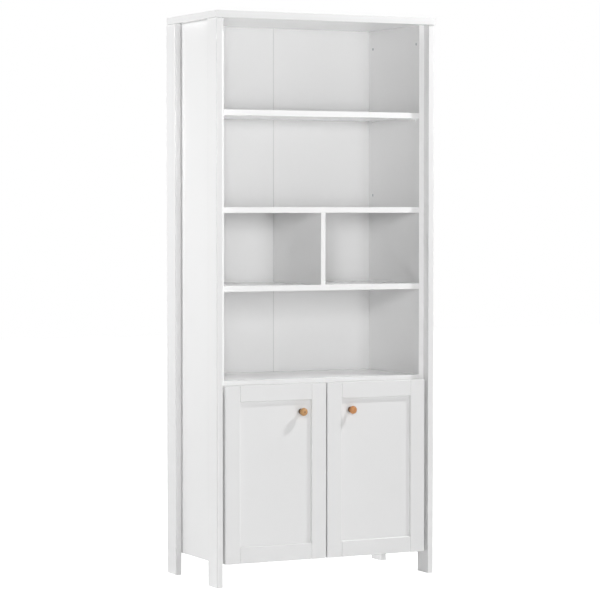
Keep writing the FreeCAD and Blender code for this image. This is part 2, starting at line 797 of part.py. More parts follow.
# Knob: a turned beech mushroom on the panel, held by a screw from behind.
for side, sign in SIDES:
    knob_at = (
        from_middle(sign, "door_meeting_gap / 2 + knob_from_meeting_edge"),
        f"{door_front} + panel_recess",
        f"{door_top} - knob_below_top",
    )
    knob = new_body(f"{side}_door_knob", *knob_at)
    head_back = "(knob_height - knob_head_height)"
    turning = outline(knob, f"knob_turning_{side}", "XY_Plane", [
        ("0", "0"),
        ("knob_foot / 2", "0"),
        ("knob_foot / 2", "-knob_foot_height"),
        ("knob_neck / 2", f"-(knob_foot_height + {head_back}) / 2"),
        ("knob_neck / 2", f"-{head_back}"),
        ("knob_diameter / 2", f"-{head_back}"),
        ("knob_diameter / 2", "-knob_height"),
        ("0", "-knob_height"),
    ])
    revolve(knob, turning)
    brim = float(sheet.get("knob_diameter")) / 2
    face = float(sheet.get("knob_height"))

    def at_brim(edge, front):
        point = edge.Vertexes[0].Point
        same = abs(abs(FreeCAD.Vector(point.x, 0, point.z).Length) - brim) < brim / 100
        return len(edge.Vertexes) == 1 and same and (abs(point.y + face) < face / 100) == front

    soften(knob, "Fillet", "knob_front_round", lambda edge: at_brim(edge, True))
    soften(knob, "Fillet", "knob_rear_round", lambda edge: at_brim(edge, False))
    thread_depth = "knob_screw_depth + fit_clearance"
    bore(knob, f"{side}_knob_thread", ("0", "0", "0"), "-y", "knob_screw", thread_depth)
    pieces.append(knob)
    knob_screw = screw(
        f"{side}_door_knob_screw",
        "(knob_screw - fit_clearance)",
        "knob_screw_head",
        "knob_screw_head_height",
        "panel_thickness + knob_screw_depth",
    )
    knob_screw.Placement.Rotation = TURNS["-y"]
    bind(knob_screw, x=knob_at[0], y=f"{knob_at[1]} + panel_thickness", z=knob_at[2])
    pieces.append(knob_screw)

# Bumpers: soft discs behind the meeting corners, which land on the boards behind the door.
bumper = new_body("bumper_master")
landing_gap = "(post_reach - door_behind_post - door_thickness)"
bumper_lift = f"-{landing_gap}"
disc = circle(bumper, "bumper_disc", "XZ_Plane", ("0", "0"), "bumper_diameter / 2", bumper_lift)
pad(bumper, disc, f"{landing_gap} - fit_clearance")
for side, sign in SIDES:
    x = from_middle(sign, "door_meeting_gap / 2 + bumper_margin")
    y = f"{door_back} - fit_clearance"
    heights = ("leg_height + board_thickness / 2", f"{door_top} - bumper_diameter / 2")
    pieces.append(group(f"{side}_door_bumpers", bumper, [(x, y, z, UPRIGHT) for z in heights]))

# Hinges: a cup sunk in the door carries the pin, and a cranked arm runs from the pin, round the
# edge of the cup, to a plate on the side panel. All four share these shapes, whose origin is on
# the pin at the middle of the hinge, as on the right door; the left ones are turned over.
pin_x = f"({door_edge} - pin_from_edge)"
pin_y = f"({door_back} - pin_from_back)"
cup_x = f"(pin_from_edge - {cup_centre})"
plate_x = f"({inner_half} - plate_thickness - {pin_x})"
arm_x = f"({plate_x} - fit_clearance)"
to_edge = f"({landing_gap} + pin_from_back)"
cup = new_body("cup_master")
cup_round = circle(cup, "cup_round", "XZ_Plane", (cup_x, "0"), "cup_diameter / 2", "-pin_from_back")
pad(cup, cup_round, "cup_depth")
flange_lift = "-pin_from_back - flange_thickness"
rim = circle(cup, "cup_rim", "XZ_Plane", (cup_x, "0"), "cup_diameter / 2 + cup_wall", flange_lift)
pad(cup, rim, "flange_thickness")
pad(
    cup,
    rectangle(
        cup,
        "cup_flange",
        "XZ_Plane",
        (f"{cup_x} - flange_width / 2", "-flange_height / 2"),
        (f"{cup_x} + flange_width / 2", "flange_height / 2"),
        flange_lift,
    ),
    "flange_thickness",
)
mouth_y = "pin_from_back + flange_thickness"
bore(cup, "cup_hollow", (cup_x, mouth_y, "0"), "-y", "cup_diameter - 2 * cup_wall",
     "cup_depth + flange_thickness - cup_wall")
for name, step in (("cup_hole_low", "-cup_screw_spacing / 2"), ("cup_hole_high", "cup_screw_spacing / 2")):
    bore(cup, name, (cup_x, mouth_y, step), "-y", "hinge_screw + fit_clearance", "flange_thickness")
pin_half = "(arm_width / 2 + lug_gap + lug_thickness)"
for name, z in (("lug_low", f"-{pin_half}"), ("lug_high", f"{pin_half} - lug_thickness")):
    lug = cup.newObject("PartDesign::AdditiveBox", name)
    floor_y = "(pin_from_back - cup_depth + cup_wall)"
    bind(lug, x="-pin_diameter", y=floor_y, z=z, Length="pin_diameter * 8 / 5",
         Width=f"pin_diameter - {floor_y}", Height="lug_thickness")
pin_hole = "pin_diameter + 2 * pin_clearance"
bore(cup, "cup_pin_hole", ("0", "0", f"-{pin_half}"), "+z", pin_hole, f"2 * {pin_half}")

pin = new_body("pin_master")
pin_round = circle(pin, "pin_round", "XY_Plane", ("0", "0"), "pin_diameter / 2", f"-{pin_half}")
pad(pin, pin_round, f"2 * {pin_half}")

arm = new_body("arm_master")
low = "-arm_eye / 2"
crank = outline(arm, "arm_crank_line", "XY_Plane", [
    ("0", low),
    ("0", f"{low} + arm_thickness"),
    ("-arm_crank", f"{low} + arm_thickness"),
    ("-arm_crank", "arm_crank"),
    (arm_x, "arm_crank"),
    (arm_x, "arm_length"),
    (f"{arm_x} - arm_thickness", "arm_length"),
    (f"{arm_x} - arm_thickness", "arm_crank + arm_thickness"),
    ("-arm_crank - arm_thickness", "arm_crank + arm_thickness"),
    ("-arm_crank - arm_thickness", low),
], "-arm_width / 2")
pad(arm, crank, "arm_width")
crank_low = -float(sheet.get("arm_eye")) / 2
crank_side = -float(sheet.get("arm_crank"))


def outer_bend(edge):
    """An upright edge on the far side of the crank, away from the pin."""
    ends = [v.Point for v in edge.Vertexes]
    upright = len(ends) == 2 and abs(ends[0].z - ends[1].z) > abs(crank_low)
    return upright and ends[0].x < crank_side * 1.1


soften(arm, "Fillet", "arm_thickness", outer_bend)
eye = arm.newObject("PartDesign::AdditiveCylinder", "arm_eye_round")
bind(eye, z="-arm_width / 2", Radius="arm_eye / 2", Height="arm_width")
bore(arm, "arm_bore", ("0", "0", "-arm_width / 2"), "+z", pin_hole, "arm_width")
arm_screw_y = "(arm_length - hinge_screw_head)"
arm_screw_at = (f"{arm_x} - arm_thickness", arm_screw_y, "0")
bore(arm, "arm_screw_hole", arm_screw_at, "+x", "hinge_screw + fit_clearance", "arm_thickness")

plate = new_body("plate_master")
plate_y = f"(plate_front + {to_edge})"
pad(
    plate,
    rectangle(
        plate,
        "plate_spine",
        "YZ_Plane",
        (f"{plate_y} - plate_length / 2", "-plate_wing / 2"),
        (f"{plate_y} + plate_length / 2", "plate_wing / 2"),
        plate_x,
    ),
    "plate_thickness",
)
pad(
    plate,
    rectangle(
        plate,
        "plate_cross",
        "YZ_Plane",
        (f"{plate_y} - plate_wing / 2", "-plate_height / 2"),
        (f"{plate_y} + plate_wing / 2", "plate_height / 2"),
        plate_x,
    ),
    "plate_thickness",
)
screw_hole = ("+x", "hinge_screw + fit_clearance", "plate_thickness")
bore(plate, "plate_thread", (plate_x, arm_screw_y, "0"), *screw_hole)
for name, sign in (("plate_hole_low", "-"), ("plate_hole_high", "")):
    bore(plate, name, (plate_x, plate_y, f"{sign}hinge_screw_spacing / 2"), *screw_hole)

wood_screw = screw(
    "hinge_screw_master",
    "(hinge_screw - fit_clearance)",
    "hinge_screw_head",
    "hinge_screw_head_height",
    "hinge_screw_depth",
)
clamp_screw = screw(
    "clamp_screw_master",
    "(hinge_screw - fit_clearance)",
    "hinge_screw_head",
    "hinge_screw_head_height",
    "arm_thickness + fit_clearance + plate_thickness",
)
for side, sign in SIDES:
    x = from_middle(sign, pin_x)
    turn = turned(sign)
    places = [(x, pin_y, height, turn) for height in HINGE_HEIGHTS]
    pieces.append(group(f"{side}_hinge_cups", cup, places))
    pieces.append(group(f"{side}_hinge_pins", pin, places))
    pieces.append(group(f"{side}_hinge_arms", arm, places))
    pieces.append(group(f"{side}_hinge_plates", plate, places))
    cup_screws, plate_screws, clamp_screws = [], [], []
    for i, height in enumerate(HINGE_HEIGHTS):
        for step, spacing in (("-", "low"), ("+", "high")):
            cup_screws.append((
                from_middle(sign, f"({pin_x} + {cup_x})"),
                f"{door_back} + flange_thickness",
                f"{height} {step} cup_screw_spacing / 2",
                TURNS["-y"],
            ))
            plate_screws.append((
                from_middle(sign, f"({inner_half} - plate_thickness)"),
                f"{edge_y} + plate_front",
                f"{height} {step} hinge_screw_spacing / 2",
                TURNS[outward(sign)],
            ))
            bore(
                sides[side],
                f"plate_pilot_{i + 1}_{spacing}_{side}",
                (
                    from_inward_face(sign, "0", "0", "board_thickness"),
                    "plate_front",
                    f"{height} {step} hinge_screw_spacing / 2 - leg_height",
                ),
                outward(sign),
                "hinge_screw",
                "hinge_screw_depth",
            )
        clamp_screws.append((
            from_middle(sign, f"({pin_x} + {arm_x} - arm_thickness)"),
            f"{pin_y} + {arm_screw_y}",
            height,
            TURNS[outward(sign)],
        ))
    pieces.append(group(f"{side}_hinge_cup_screws", wood_screw, cup_screws))
    pieces.append(group(f"{side}_hinge_plate_screws", wood_screw, plate_screws))
    pieces.append(group(f"{side}_hinge_clamp_screws", clamp_screw, clamp_screws))

# The whole is worked out, tested and written, one file for each piece.
doc.recompute()
for thing in doc.Objects:
    if any(word in state for state in thing.State for word in ("Invalid", "Error")):
        raise RuntimeError(f"{thing.Name} failed: {thing.State}")
for body in (thing for thing in doc.Objects if thing.TypeId == "PartDesign::Body"):
    volume = 0
    for feature in body.Group:
        if feature.isDerivedFrom("PartDesign::Feature"):
            cuts = feature.TypeId.startswith("PartDesign::Subtractive")
            if cuts and feature.Shape.Volume >= volume:
                raise RuntimeError(f"{feature.Name} cuts nothing")
            volume = feature.Shape.Volume
os.makedirs("parts", exist_ok=True)
for piece in pieces:
    shape = piece.Shape
    if shape.isNull() or not shape.isValid() or not shape.Solids:
        raise RuntimeError(f"{piece.Label} has no valid solid")
    shape.exportStep(f"parts/{piece.Label}.step")
print(len(pieces), "pieces", sum(len(piece.Shape.Solids) for piece in pieces), "solids")
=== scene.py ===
import math

import bmesh
import bpy
from mathutils import Matrix, Vector


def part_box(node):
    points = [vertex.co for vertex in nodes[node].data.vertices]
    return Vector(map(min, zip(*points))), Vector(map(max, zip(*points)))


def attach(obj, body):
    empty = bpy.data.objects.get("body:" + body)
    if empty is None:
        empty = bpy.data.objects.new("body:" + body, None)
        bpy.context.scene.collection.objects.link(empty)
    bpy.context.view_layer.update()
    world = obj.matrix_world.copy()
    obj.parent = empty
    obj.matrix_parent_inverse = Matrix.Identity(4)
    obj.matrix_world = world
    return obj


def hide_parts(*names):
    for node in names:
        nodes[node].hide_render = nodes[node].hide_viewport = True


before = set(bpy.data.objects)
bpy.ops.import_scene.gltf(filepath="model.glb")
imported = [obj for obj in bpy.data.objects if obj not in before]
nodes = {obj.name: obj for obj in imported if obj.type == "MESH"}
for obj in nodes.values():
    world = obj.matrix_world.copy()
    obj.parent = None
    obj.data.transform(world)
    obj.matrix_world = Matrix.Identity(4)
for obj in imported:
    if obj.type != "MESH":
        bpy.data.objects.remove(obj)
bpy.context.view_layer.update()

# Camera: it stands eight metres off with a long lens, to the left of the front and at about two
# thirds of the bookcase's height, so the upright lines stay nearly parallel.
LENS = 150.81
SENSOR = 36
CAMERA_AT = (-3.6249, -7.2915, 1.1904)
CAMERA_TILT = 87.882
CAMERA_TURN = -26.405
camera_data = bpy.data.cameras.new("camera")
camera_data.lens = LENS
camera_data.sensor_width = SENSOR
camera = bpy.data.objects.new("camera", camera_data)
camera.location = CAMERA_AT
camera.rotation_euler = (math.radians(CAMERA_TILT), 0, math.radians(CAMERA_TURN))
bpy.context.scene.collection.objects.link(camera)
bpy.context.scene.camera = camera
bpy.context.scene.view_settings.view_transform = "Standard"


# Studio: a white sweep of matt paper that serves as floor and background, with no gloss of its own,
# its fibre drawn coarse. A small lamp near on the right draws the crisp shadows, one far behind on
# the left, gridded down to a narrow beam, lights the long side, and wide softboxes fill from the
# front. Two weak ones reach into the top bays and on to the top.
MM = 0.001
PAPER = "#F4F4F4"
PAPER_FIBRE = 4 * MM
PAPER_RELIEF = 0.4 * MM
PAPER_GLOW = 0.95
AMBIENT = 0.03
OPEN_BEAM = 180
SOFTBOXES = {
    "key": {"at": (1.95, -1.20, 3.00), "aim": (0, -0.15, 1.0), "size": 0.2, "power": 57},
    "back_left": {"at": (-5.6, 3.4, 2.2), "aim": (-0.37, 0, 1.3), "size": 1.4, "power": 25,
                  "beam": 50},
    "front": {"at": (0.4, -7.4, 1.15), "aim": (0, -0.1, 0.95), "size": 2.2, "power": 98},
    "front_left": {"at": (-2.6, -7.0, 1.25), "aim": (0, -0.1, 0.95), "size": 2.2, "power": 38},
    "near_left": {"at": (-1.35, -2.4, 1.5), "aim": (0.15, 0.1, 1.66), "size": 0.5, "power": 18},
    "overhead": {"at": (0, 0.1, 3.2), "aim": (0, 0, 1.8), "size": 1.0, "power": 6},
}


def linear(colour):
    """A hex colour as the linear values that shaders read."""
    channels = [int(colour[i:i + 2], 16) / 255 for i in (1, 3, 5)]
    return [c / 12.92 if c <= 0.04045 else ((c + 0.055) / 1.055) ** 2.4 for c in channels] + [1]


def add(tree, kind, inputs=None, **settings):
    """Adds a node with its settings; an input is a number, a colour or another node's output."""
    node = tree.nodes.new("ShaderNode" + kind)
    for name, value in settings.items():
        setattr(node, name, value)
    for name, value in (inputs or {}).items():
        if isinstance(value, bpy.types.NodeSocket):
            tree.links.new(value, node.inputs[name])
        else:
            node.inputs[name].default_value = value
    return node


def blank_material(name):
    """A new node material with its output alone."""
    material = bpy.data.materials.new(name)
    material.use_nodes = True
    material.node_tree.nodes.clear()
    return material, add(material.node_tree, "OutputMaterial")


def seen_direct(tree):
    """1 where the camera sees a surface straight, in metal or through glass, and 0 elsewhere."""
    path = add(tree, "LightPath")
    glossy = add(tree, "Math", {0: path.outputs["Is Camera Ray"], 1: path.outputs["Is Glossy Ray"]},
                 operation="MAXIMUM")
    return add(tree, "Math", {0: glossy.outputs[0], 1: path.outputs["Is Transmission Ray"]},
               operation="MAXIMUM").outputs[0]


world = bpy.data.worlds.new("studio")
world.use_nodes = True
world.node_tree.nodes.clear()
room = add(world.node_tree, "Background", {"Color": linear("#FFFFFF"), "Strength": AMBIENT})
white = add(world.node_tree, "Background", {"Color": linear("#FFFFFF"), "Strength": 1})
shown = add(world.node_tree, "MixShader", {0: seen_direct(world.node_tree), 1: room.outputs[0],
                                           2: white.outputs[0]})
add(world.node_tree, "OutputWorld", {"Surface": shown.outputs[0]})
bpy.context.scene.world = world

paper, paper_out = blank_material("matt_paper")
tree = paper.node_tree
fibre = add(tree, "TexNoise", {"Scale": 1 / PAPER_FIBRE, "Detail": 4})
matt = add(tree, "BsdfPrincipled", {"Base Color": linear(PAPER), "Roughness": 0.9})
relief = add(tree, "Bump", {"Height": fibre.outputs["Fac"], "Strength": 0.05,
                            "Distance": PAPER_RELIEF})
tree.links.new(relief.outputs[0], matt.inputs["Normal"])
glow_level = add(tree, "Math", {0: seen_direct(tree), 1: PAPER_GLOW}, operation="MULTIPLY")
glow = add(tree, "Emission", {"Color": linear("#FFFFFF"), "Strength": glow_level.outputs[0]})
both = add(tree, "AddShader", {0: matt.outputs[0], 1: glow.outputs[0]})
tree.links.new(both.outputs[0], paper_out.inputs["Surface"])

FLOOR_HALF = 14
floor_mesh = bpy.data.meshes.new("floor")
floor_mesh.from_pydata(
    [(-FLOOR_HALF, -FLOOR_HALF, 0), (FLOOR_HALF, -FLOOR_HALF, 0), (FLOOR_HALF, FLOOR_HALF, 0),
     (-FLOOR_HALF, FLOOR_HALF, 0)], [], [(0, 1, 2, 3)])
floor = bpy.data.objects.new("floor", floor_mesh)
floor.data.materials.append(paper)
bpy.context.scene.collection.objects.link(floor)

for name, box in SOFTBOXES.items():
    lamp = bpy.data.lights.new(name, "AREA")
    lamp.shape = "DISK"
    lamp.size = box["size"]
    lamp.energy = box["power"]
    lamp.spread = math.radians(box.get("beam", OPEN_BEAM))
    light = bpy.data.objects.new(name, lamp)
    light.location = box["at"]
    aim = Vector(box["aim"]) - Vector(box["at"])
    light.rotation_euler = aim.to_track_quat("-Z", "Y").to_euler()
    light.visible_camera = False
    bpy.context.scene.collection.objects.link(light)


# Carcass: side panels, fixed boards, divider and loose shelves are particle board under a white
# melamine film, pressed to a faint pearl texture. Each front edge has a glued band of harder,
# brighter plastic, with a hairline where it meets the film.
BOARD_FILM = ("#F5F5F5", "#F7F7F7")
BOARD_BAND = "#F8F8F8"
BAND = 0.8 * MM
GLUE_LINE = 0.24 * MM
PEARL = 0.9 * MM
PEARL_DEPTH = 0.05 * MM
PEARL_SHINE = (0.13, 0.19)
SHEET_TONE = 260 * MM


def melamine(name, film, band, front, lip=BAND, glue_line=GLUE_LINE, glue="#C8C8C8"):
    """Melamine faced board, its banded edge at y = front: smooth and satin, a little uneven."""
    material, out = blank_material(name)
    tree = material.node_tree
    place = add(tree, "TexCoord").outputs["Object"]
    y = add(tree, "SeparateXYZ", {0: place}).outputs["Y"]
    tone = add(tree, "TexNoise", {"Vector": place, "Scale": 1 / SHEET_TONE, "Detail": 2})
    pearl = add(tree, "TexNoise", {"Vector": place, "Scale": 1 / PEARL, "Detail": 3})
    faces = add(tree, "MixRGB", {"Fac": tone.outputs["Fac"], "Color1": linear(film[0]),
                                 "Color2": linear(film[1])})
    on_band = add(tree, "Math", {0: y, 1: front + lip}, operation="LESS_THAN")
    banded = add(tree, "MixRGB", {"Fac": on_band.outputs[0], "Color1": faces.outputs[0],
                                  "Color2": linear(band)})
    joint = add(tree, "Math", {0: y, 1: front + lip, 2: glue_line / 2}, operation="COMPARE")
    lined = add(tree, "MixRGB", {"Fac": joint.outputs[0], "Color1": banded.outputs[0],
                                 "Color2": linear(glue)})
    shine = add(tree, "MapRange", {"Value": pearl.outputs["Fac"], "To Min": PEARL_SHINE[0],
                                   "To Max": PEARL_SHINE[1]})
    relief = add(tree, "Bump", {"Height": pearl.outputs["Fac"], "Strength": 0.06,
                                "Distance": PEARL_DEPTH})
    board = add(tree, "BsdfPrincipled", {
        "Base Color": lined.outputs[0], "Roughness": shine.outputs[0], "IOR": 1.5,
        "Normal": relief.outputs[0]})
    tree.links.new(board.outputs[0], out.inputs["Surface"])
    return material


def finish(material, *names):
    """Gives CAD pieces one material."""
    for name in names:
        nodes[name].data.materials.clear()
        nodes[name].data.materials.append(material)


front_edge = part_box("side_panel_left")[0].y
finish(melamine("melamine_board", BOARD_FILM, BOARD_BAND, front_edge),
       "side_panel_left", "side_panel_right", "cabinet_floor", "cabinet_top",
       "lower_shelf", "middle_shelf", "cubby_divider", "upper_shelf")
inner_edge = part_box("cabinet_shelf")[0].y
finish(melamine("melamine_inner_shelf", BOARD_FILM, BOARD_BAND, inner_edge), "cabinet_shelf")

# Top: a thicker board of the same melamine, eased all round, which lies on the posts and side
# panels and is screwed down to them. Its band is a shade greyer than those of the shelves.
top_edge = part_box("top_panel")[0].y
finish(melamine("melamine_top", BOARD_FILM, "#ECECEC", top_edge), "top_panel")


# Posts: four uprights of the same white board, screwed to the side panels from inside. Their
# narrow faces are banded, and the glue line shows as a thin grey line beside each front corner,
# drawn here a little wider than it is so that it shows.
SIDES = ("left", "right")
CORNER_LIP = 1.1 * MM
CORNER_GLUE = 0.5 * MM
post_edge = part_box("post_front_left")[0].y
finish(melamine("melamine_posts", ("#F4F4F4", "#F6F6F6"), "#EEEEEE", post_edge, CORNER_LIP,
                CORNER_GLUE, "#A8A8A8"),
       *(f"post_{end}_{side}" for end in ("front", "rear") for side in SIDES))


# Back: two sheets of hardboard with a flat white printed face, nailed into the rebates. A smooth
# strip of extruded plastic, of H section, joins them, and a hair of shade shows along its left
# lip, drawn wide enough to show.
PEEL = 2.2 * MM
PEEL_DEPTH = 0.06 * MM
LIP_SHADE = 0.9 * MM


def lacquer(name, shades, roughness):
    """White lacquer or print on fibreboard: even colour, low sheen, a very slight orange peel."""
    material, out = blank_material(name)
    tree = material.node_tree
    place = add(tree, "TexCoord").outputs["Object"]
    tone = add(tree, "TexNoise", {"Vector": place, "Scale": 1 / SHEET_TONE, "Detail": 2})
    peel = add(tree, "TexNoise", {"Vector": place, "Scale": 1 / PEEL, "Detail": 2})
    paint = add(tree, "MixRGB", {"Fac": tone.outputs["Fac"], "Color1": linear(shades[0]),
                                 "Color2": linear(shades[1])})
    relief = add(tree, "Bump", {"Height": peel.outputs["Fac"], "Strength": 0.08,
                                "Distance": PEEL_DEPTH})
    coat = add(tree, "BsdfPrincipled", {
        "Base Color": paint.outputs[0], "Roughness": roughness, "IOR": 1.5,
        "Normal": relief.outputs[0]})
    tree.links.new(coat.outputs[0], out.inputs["Surface"])
    return material


back_print = lacquer("printed_hardboard", ("#F1F1F1", "#F3F3F3"), 0.5)
tree = back_print.node_tree
print_skin = tree.nodes["Principled BSDF"]
plain_print = print_skin.inputs["Base Color"].links[0].from_socket
across = add(tree, "SeparateXYZ", {0: add(tree, "TexCoord").outputs["Object"]}).outputs["X"]
lip_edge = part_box("back_joint_strip")[0].x
beside_lip = add(tree, "Math", {0: across, 1: lip_edge - LIP_SHADE / 2, 2: LIP_SHADE / 2},
                 operation="COMPARE")
shaded_print = add(tree, "MixRGB", {"Fac": beside_lip.outputs[0], "Color1": plain_print,
                                    "Color2": linear("#BCBCBC")})
tree.links.new(shaded_print.outputs[0], print_skin.inputs["Base Color"])
finish(back_print, "back_panel_left", "back_panel_right")


GRIT = 0.3 * MM
GRIT_DEPTH = 0.03 * MM


def plain_plastic(name, colour, roughness):
    """Moulded or extruded plastic: smooth, with the faint sparkle that its tool leaves."""
    material, out = blank_material(name)
    tree = material.node_tree
    place = add(tree, "TexCoord").outputs["Object"]
    grit = add(tree, "TexNoise", {"Vector": place, "Scale": 1 / GRIT, "Detail": 2})
    relief = add(tree, "Bump", {"Height": grit.outputs["Fac"], "Strength": 0.1,
                                "Distance": GRIT_DEPTH})
    body = add(tree, "BsdfPrincipled", {
        "Base Color": linear(colour), "Roughness": roughness, "IOR": 1.46,
        "Normal": relief.outputs[0]})
    tree.links.new(body.outputs[0], out.inputs["Surface"])
    return material


finish(plain_plastic("extruded_white_pvc", "#F3F3F3", 0.46), "back_joint_strip")

# Plugs and shelf supports: moulded white polypropylene, with a faint sparkle. The plugs are pressed
# in over the long screws in the top, and the supports into holes in the side panels.
white_plastic = plain_plastic("white_polypropylene", "#EFEFEF", 0.42)
finish(white_plastic, "top_screw_caps", "upper_shelf_supports", "cabinet_shelf_supports")


# Hidden fittings: zinc plated steel, with a cool grey sheen, for the cam bolts and the screws in
# the top, and die cast zinc, which is duller and grainier, for the cams that draw the boards up.
CRYSTAL_DEPTH = 0.03 * MM


def plated_metal(name, colour, roughness, grain, rough_grain):
    """Plated or cast metal whose grain shows as uneven sheen."""
    material, out = blank_material(name)
    tree = material.node_tree
    place = add(tree, "TexCoord").outputs["Object"]
    speckle = add(tree, "TexNoise", {"Vector": place, "Scale": 1 / grain, "Detail": 4})
    shine = add(tree, "MapRange", {"Value": speckle.outputs["Fac"],
                                   "To Min": roughness - rough_grain,
                                   "To Max": roughness + rough_grain})
    relief = add(tree, "Bump", {"Height": speckle.outputs["Fac"], "Strength": 0.12,
                                "Distance": CRYSTAL_DEPTH})
    metal = add(tree, "BsdfPrincipled", {
        "Base Color": linear(colour), "Metallic": 1, "Roughness": shine.outputs[0],
        "Normal": relief.outputs[0]})
    tree.links.new(metal.outputs[0], out.inputs["Surface"])
    return material


steel = plated_metal("zinc_plated_steel", "#B9BBBD", 0.32, 0.6 * MM, 0.08)
cast_zinc = plated_metal("die_cast_zinc", "#A5A7A9", 0.5, 0.4 * MM, 0.1)
finish(steel, "cam_bolts", "top_screws")
finish(cast_zinc, "cam_locks")


# Visible screws: plated steel pan heads with a cross recess, each stopped at an angle of its own.
# Post screws go through the side panels into the posts, and knob screws through the doors. The
# recess's half length and half width are shares of the head's radius.
SHARP_EDGE = 38
WELD = 0.001 * MM
RECESS_MOUTH = (0.56, 0.14)
RECESS_FLOOR = (0.2, 0.1)
CUTTER_RISE = 0.3
SCREW_TURN = 0.9


def turned(profile, steps):
    """A form turned about Z from pairs of radius and height in mm."""
    form = bmesh.new()
    line = [form.verts.new((radius * MM, 0, height * MM)) for radius, height in profile]
    edges = [form.edges.new(ends) for ends in zip(line, line[1:])]
    bmesh.ops.spin(form, geom=line + edges, cent=(0, 0, 0), axis=(0, 0, 1),
                   angle=2 * math.pi, steps=steps)
    bmesh.ops.remove_doubles(form, verts=form.verts[:], dist=WELD)
    bmesh.ops.recalc_face_normals(form, faces=form.faces[:])
    return form


def as_piece(name, form):
    """The form as an object, smooth but for its sharp edges."""
    mesh = bpy.data.meshes.new(name)
    form.to_mesh(mesh)
    form.free()
    mesh.shade_smooth()
    mesh.set_sharp_from_angle(angle=math.radians(SHARP_EDGE))
    piece = bpy.data.objects.new(name, mesh)
    bpy.context.scene.collection.objects.link(piece)
    return piece


def recess_wing(radius, depth, turn):
    """One of the two crossed wings that the driver's recess is cut with, in mm."""
    form = bmesh.new()
    rims = []
    for z, (reach, half) in ((CUTTER_RISE, RECESS_MOUTH), (-depth, RECESS_FLOOR)):
        rims.append([form.verts.new((x * reach * radius * MM, y * half * radius * MM, z * MM))
                     for x, y in ((-1, -1), (1, -1), (1, 1), (-1, 1))])
    form.faces.new(rims[0])
    form.faces.new(reversed(rims[1]))
    for i in range(4):
        form.faces.new((rims[0][i], rims[1][i], rims[1][i - 3], rims[0][i - 3]))
    bmesh.ops.recalc_face_normals(form, faces=form.faces[:])
    bmesh.ops.rotate(form, verts=form.verts[:], matrix=Matrix.Rotation(turn, 3, "Z"))
    return as_piece("recess_wing", form)


def pan_screw(radius, height, shank, length):
    """A pan head screw in mm, its head's top at the origin and its shank down Z."""
    blank = as_piece("screw_blank", turned([
        (0, 0), (0.45 * radius, -0.02 * height), (0.72 * radius, -0.1 * height),
        (0.88 * radius, -0.28 * height), (0.97 * radius, -0.55 * height), (radius, -0.8 * height),
        (radius, -height), (shank, -height), (shank, 2 * shank - length), (0, -length)],
        steps=32))
    wings = [recess_wing(radius, 0.78 * height, turn) for turn in (0, math.pi / 2)]
    for wing in wings:
        cut = blank.modifiers.new("recess", "BOOLEAN")
        cut.operation = "DIFFERENCE"
        cut.solver = "EXACT"
        cut.object = wing
    cut_mesh = bpy.data.meshes.new_from_object(
        blank.evaluated_get(bpy.context.evaluated_depsgraph_get()))
    for tool in (blank, *wings):
        bpy.data.objects.remove(tool)
    return cut_mesh


def solids(node):
    """The lowest and highest corners of each solid of a CAD node, in a fixed order."""
    form = bmesh.new()
    form.from_mesh(nodes[node].data)
    bmesh.ops.remove_doubles(form, verts=form.verts[:], dist=10 * WELD)
    unseen = set(form.verts)
    found = []
    while unseen:
        solid = [unseen.pop()]
        for vert in solid:
            for edge in vert.link_edges:
                other = edge.other_vert(vert)
                if other in unseen:
                    unseen.remove(other)
                    solid.append(other)
        spans = [sorted(vert.co[axis] for vert in solid) for axis in range(3)]
        found.append((Vector([span[0] for span in spans]), Vector([span[-1] for span in spans])))
    form.free()
    return sorted(found, key=lambda corners: [round(c, 4) for c in corners[0]])


def drive(node, body, material, pattern, inward):
    """Puts a copy of one fastener where each solid of a CAD node is. Its head faces the middle of
    the bookcase where it is driven outward, and the back elsewhere."""
    form = bmesh.new()
    for i, (low, high) in enumerate(solids(node)):
        middle = (low + high) / 2
        way = Vector((-math.copysign(1, middle.x), 0, 0)) if inward else Vector((0, 1, 0))
        top = middle + way * abs((high - low).dot(way)) / 2
        count = len(form.verts)
        form.from_mesh(pattern)
        form.verts.ensure_lookup_table()
        place = Matrix.Translation(top) @ way.to_track_quat("Z", "Y").to_matrix().to_4x4()
        bmesh.ops.transform(form, matrix=place @ Matrix.Rotation(SCREW_TURN * i, 4, "Z"),
                            verts=form.verts[count:])
    piece = as_piece(f"turned_{node}", form)
    piece.data.materials.append(material)
    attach(piece, body)
    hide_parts(node)


POST_SCREW = pan_screw(4.5, 2.4, 1.9, 34.2)
drive("post_screws", "carcass", steel, POST_SCREW, True)
KNOB_SCREW = pan_screw(4, 2.2, 1.9, 22.2)
for side in SIDES:
    drive(f"{side}_door_knob_screw", f"{side}_door", steel, KNOB_SCREW, False)

# Nails: thin plated wire nails with small domed heads, driven through the back sheets into the
# boards every hand's width.
nail_form = turned([(0, 0), (0.9, -0.05), (1.6, -0.24), (2, -0.6), (2, -0.8), (0.8, -0.8),
                    (0.8, -17.4), (0, -18.8)], steps=20)
nail = bpy.data.meshes.new("nail")
nail_form.to_mesh(nail)
nail_form.free()
drive("back_nails", "carcass", steel, nail, False)

# Dowels: fluted pins of bare beech, dry and flecked, glued out of sight into holes in the ends of
# the boards.
BARE_GRAIN = 1.5 * MM
bare, bare_out = blank_material("bare_beech")
tree = bare.node_tree
place = add(tree, "TexCoord").outputs["Object"]
fleck = add(tree, "TexNoise", {"Vector": place, "Scale": 1 / BARE_GRAIN, "Detail": 4})
wood = add(tree, "MixRGB", {"Fac": fleck.outputs["Fac"], "Color1": linear("#D8B48A"),
                            "Color2": linear("#C29766")})
pin = add(tree, "BsdfPrincipled", {"Base Color": wood.outputs[0], "Roughness": 0.7})
tree.links.new(pin.outputs[0], bare_out.inputs["Surface"])
finish(bare, "dowels")

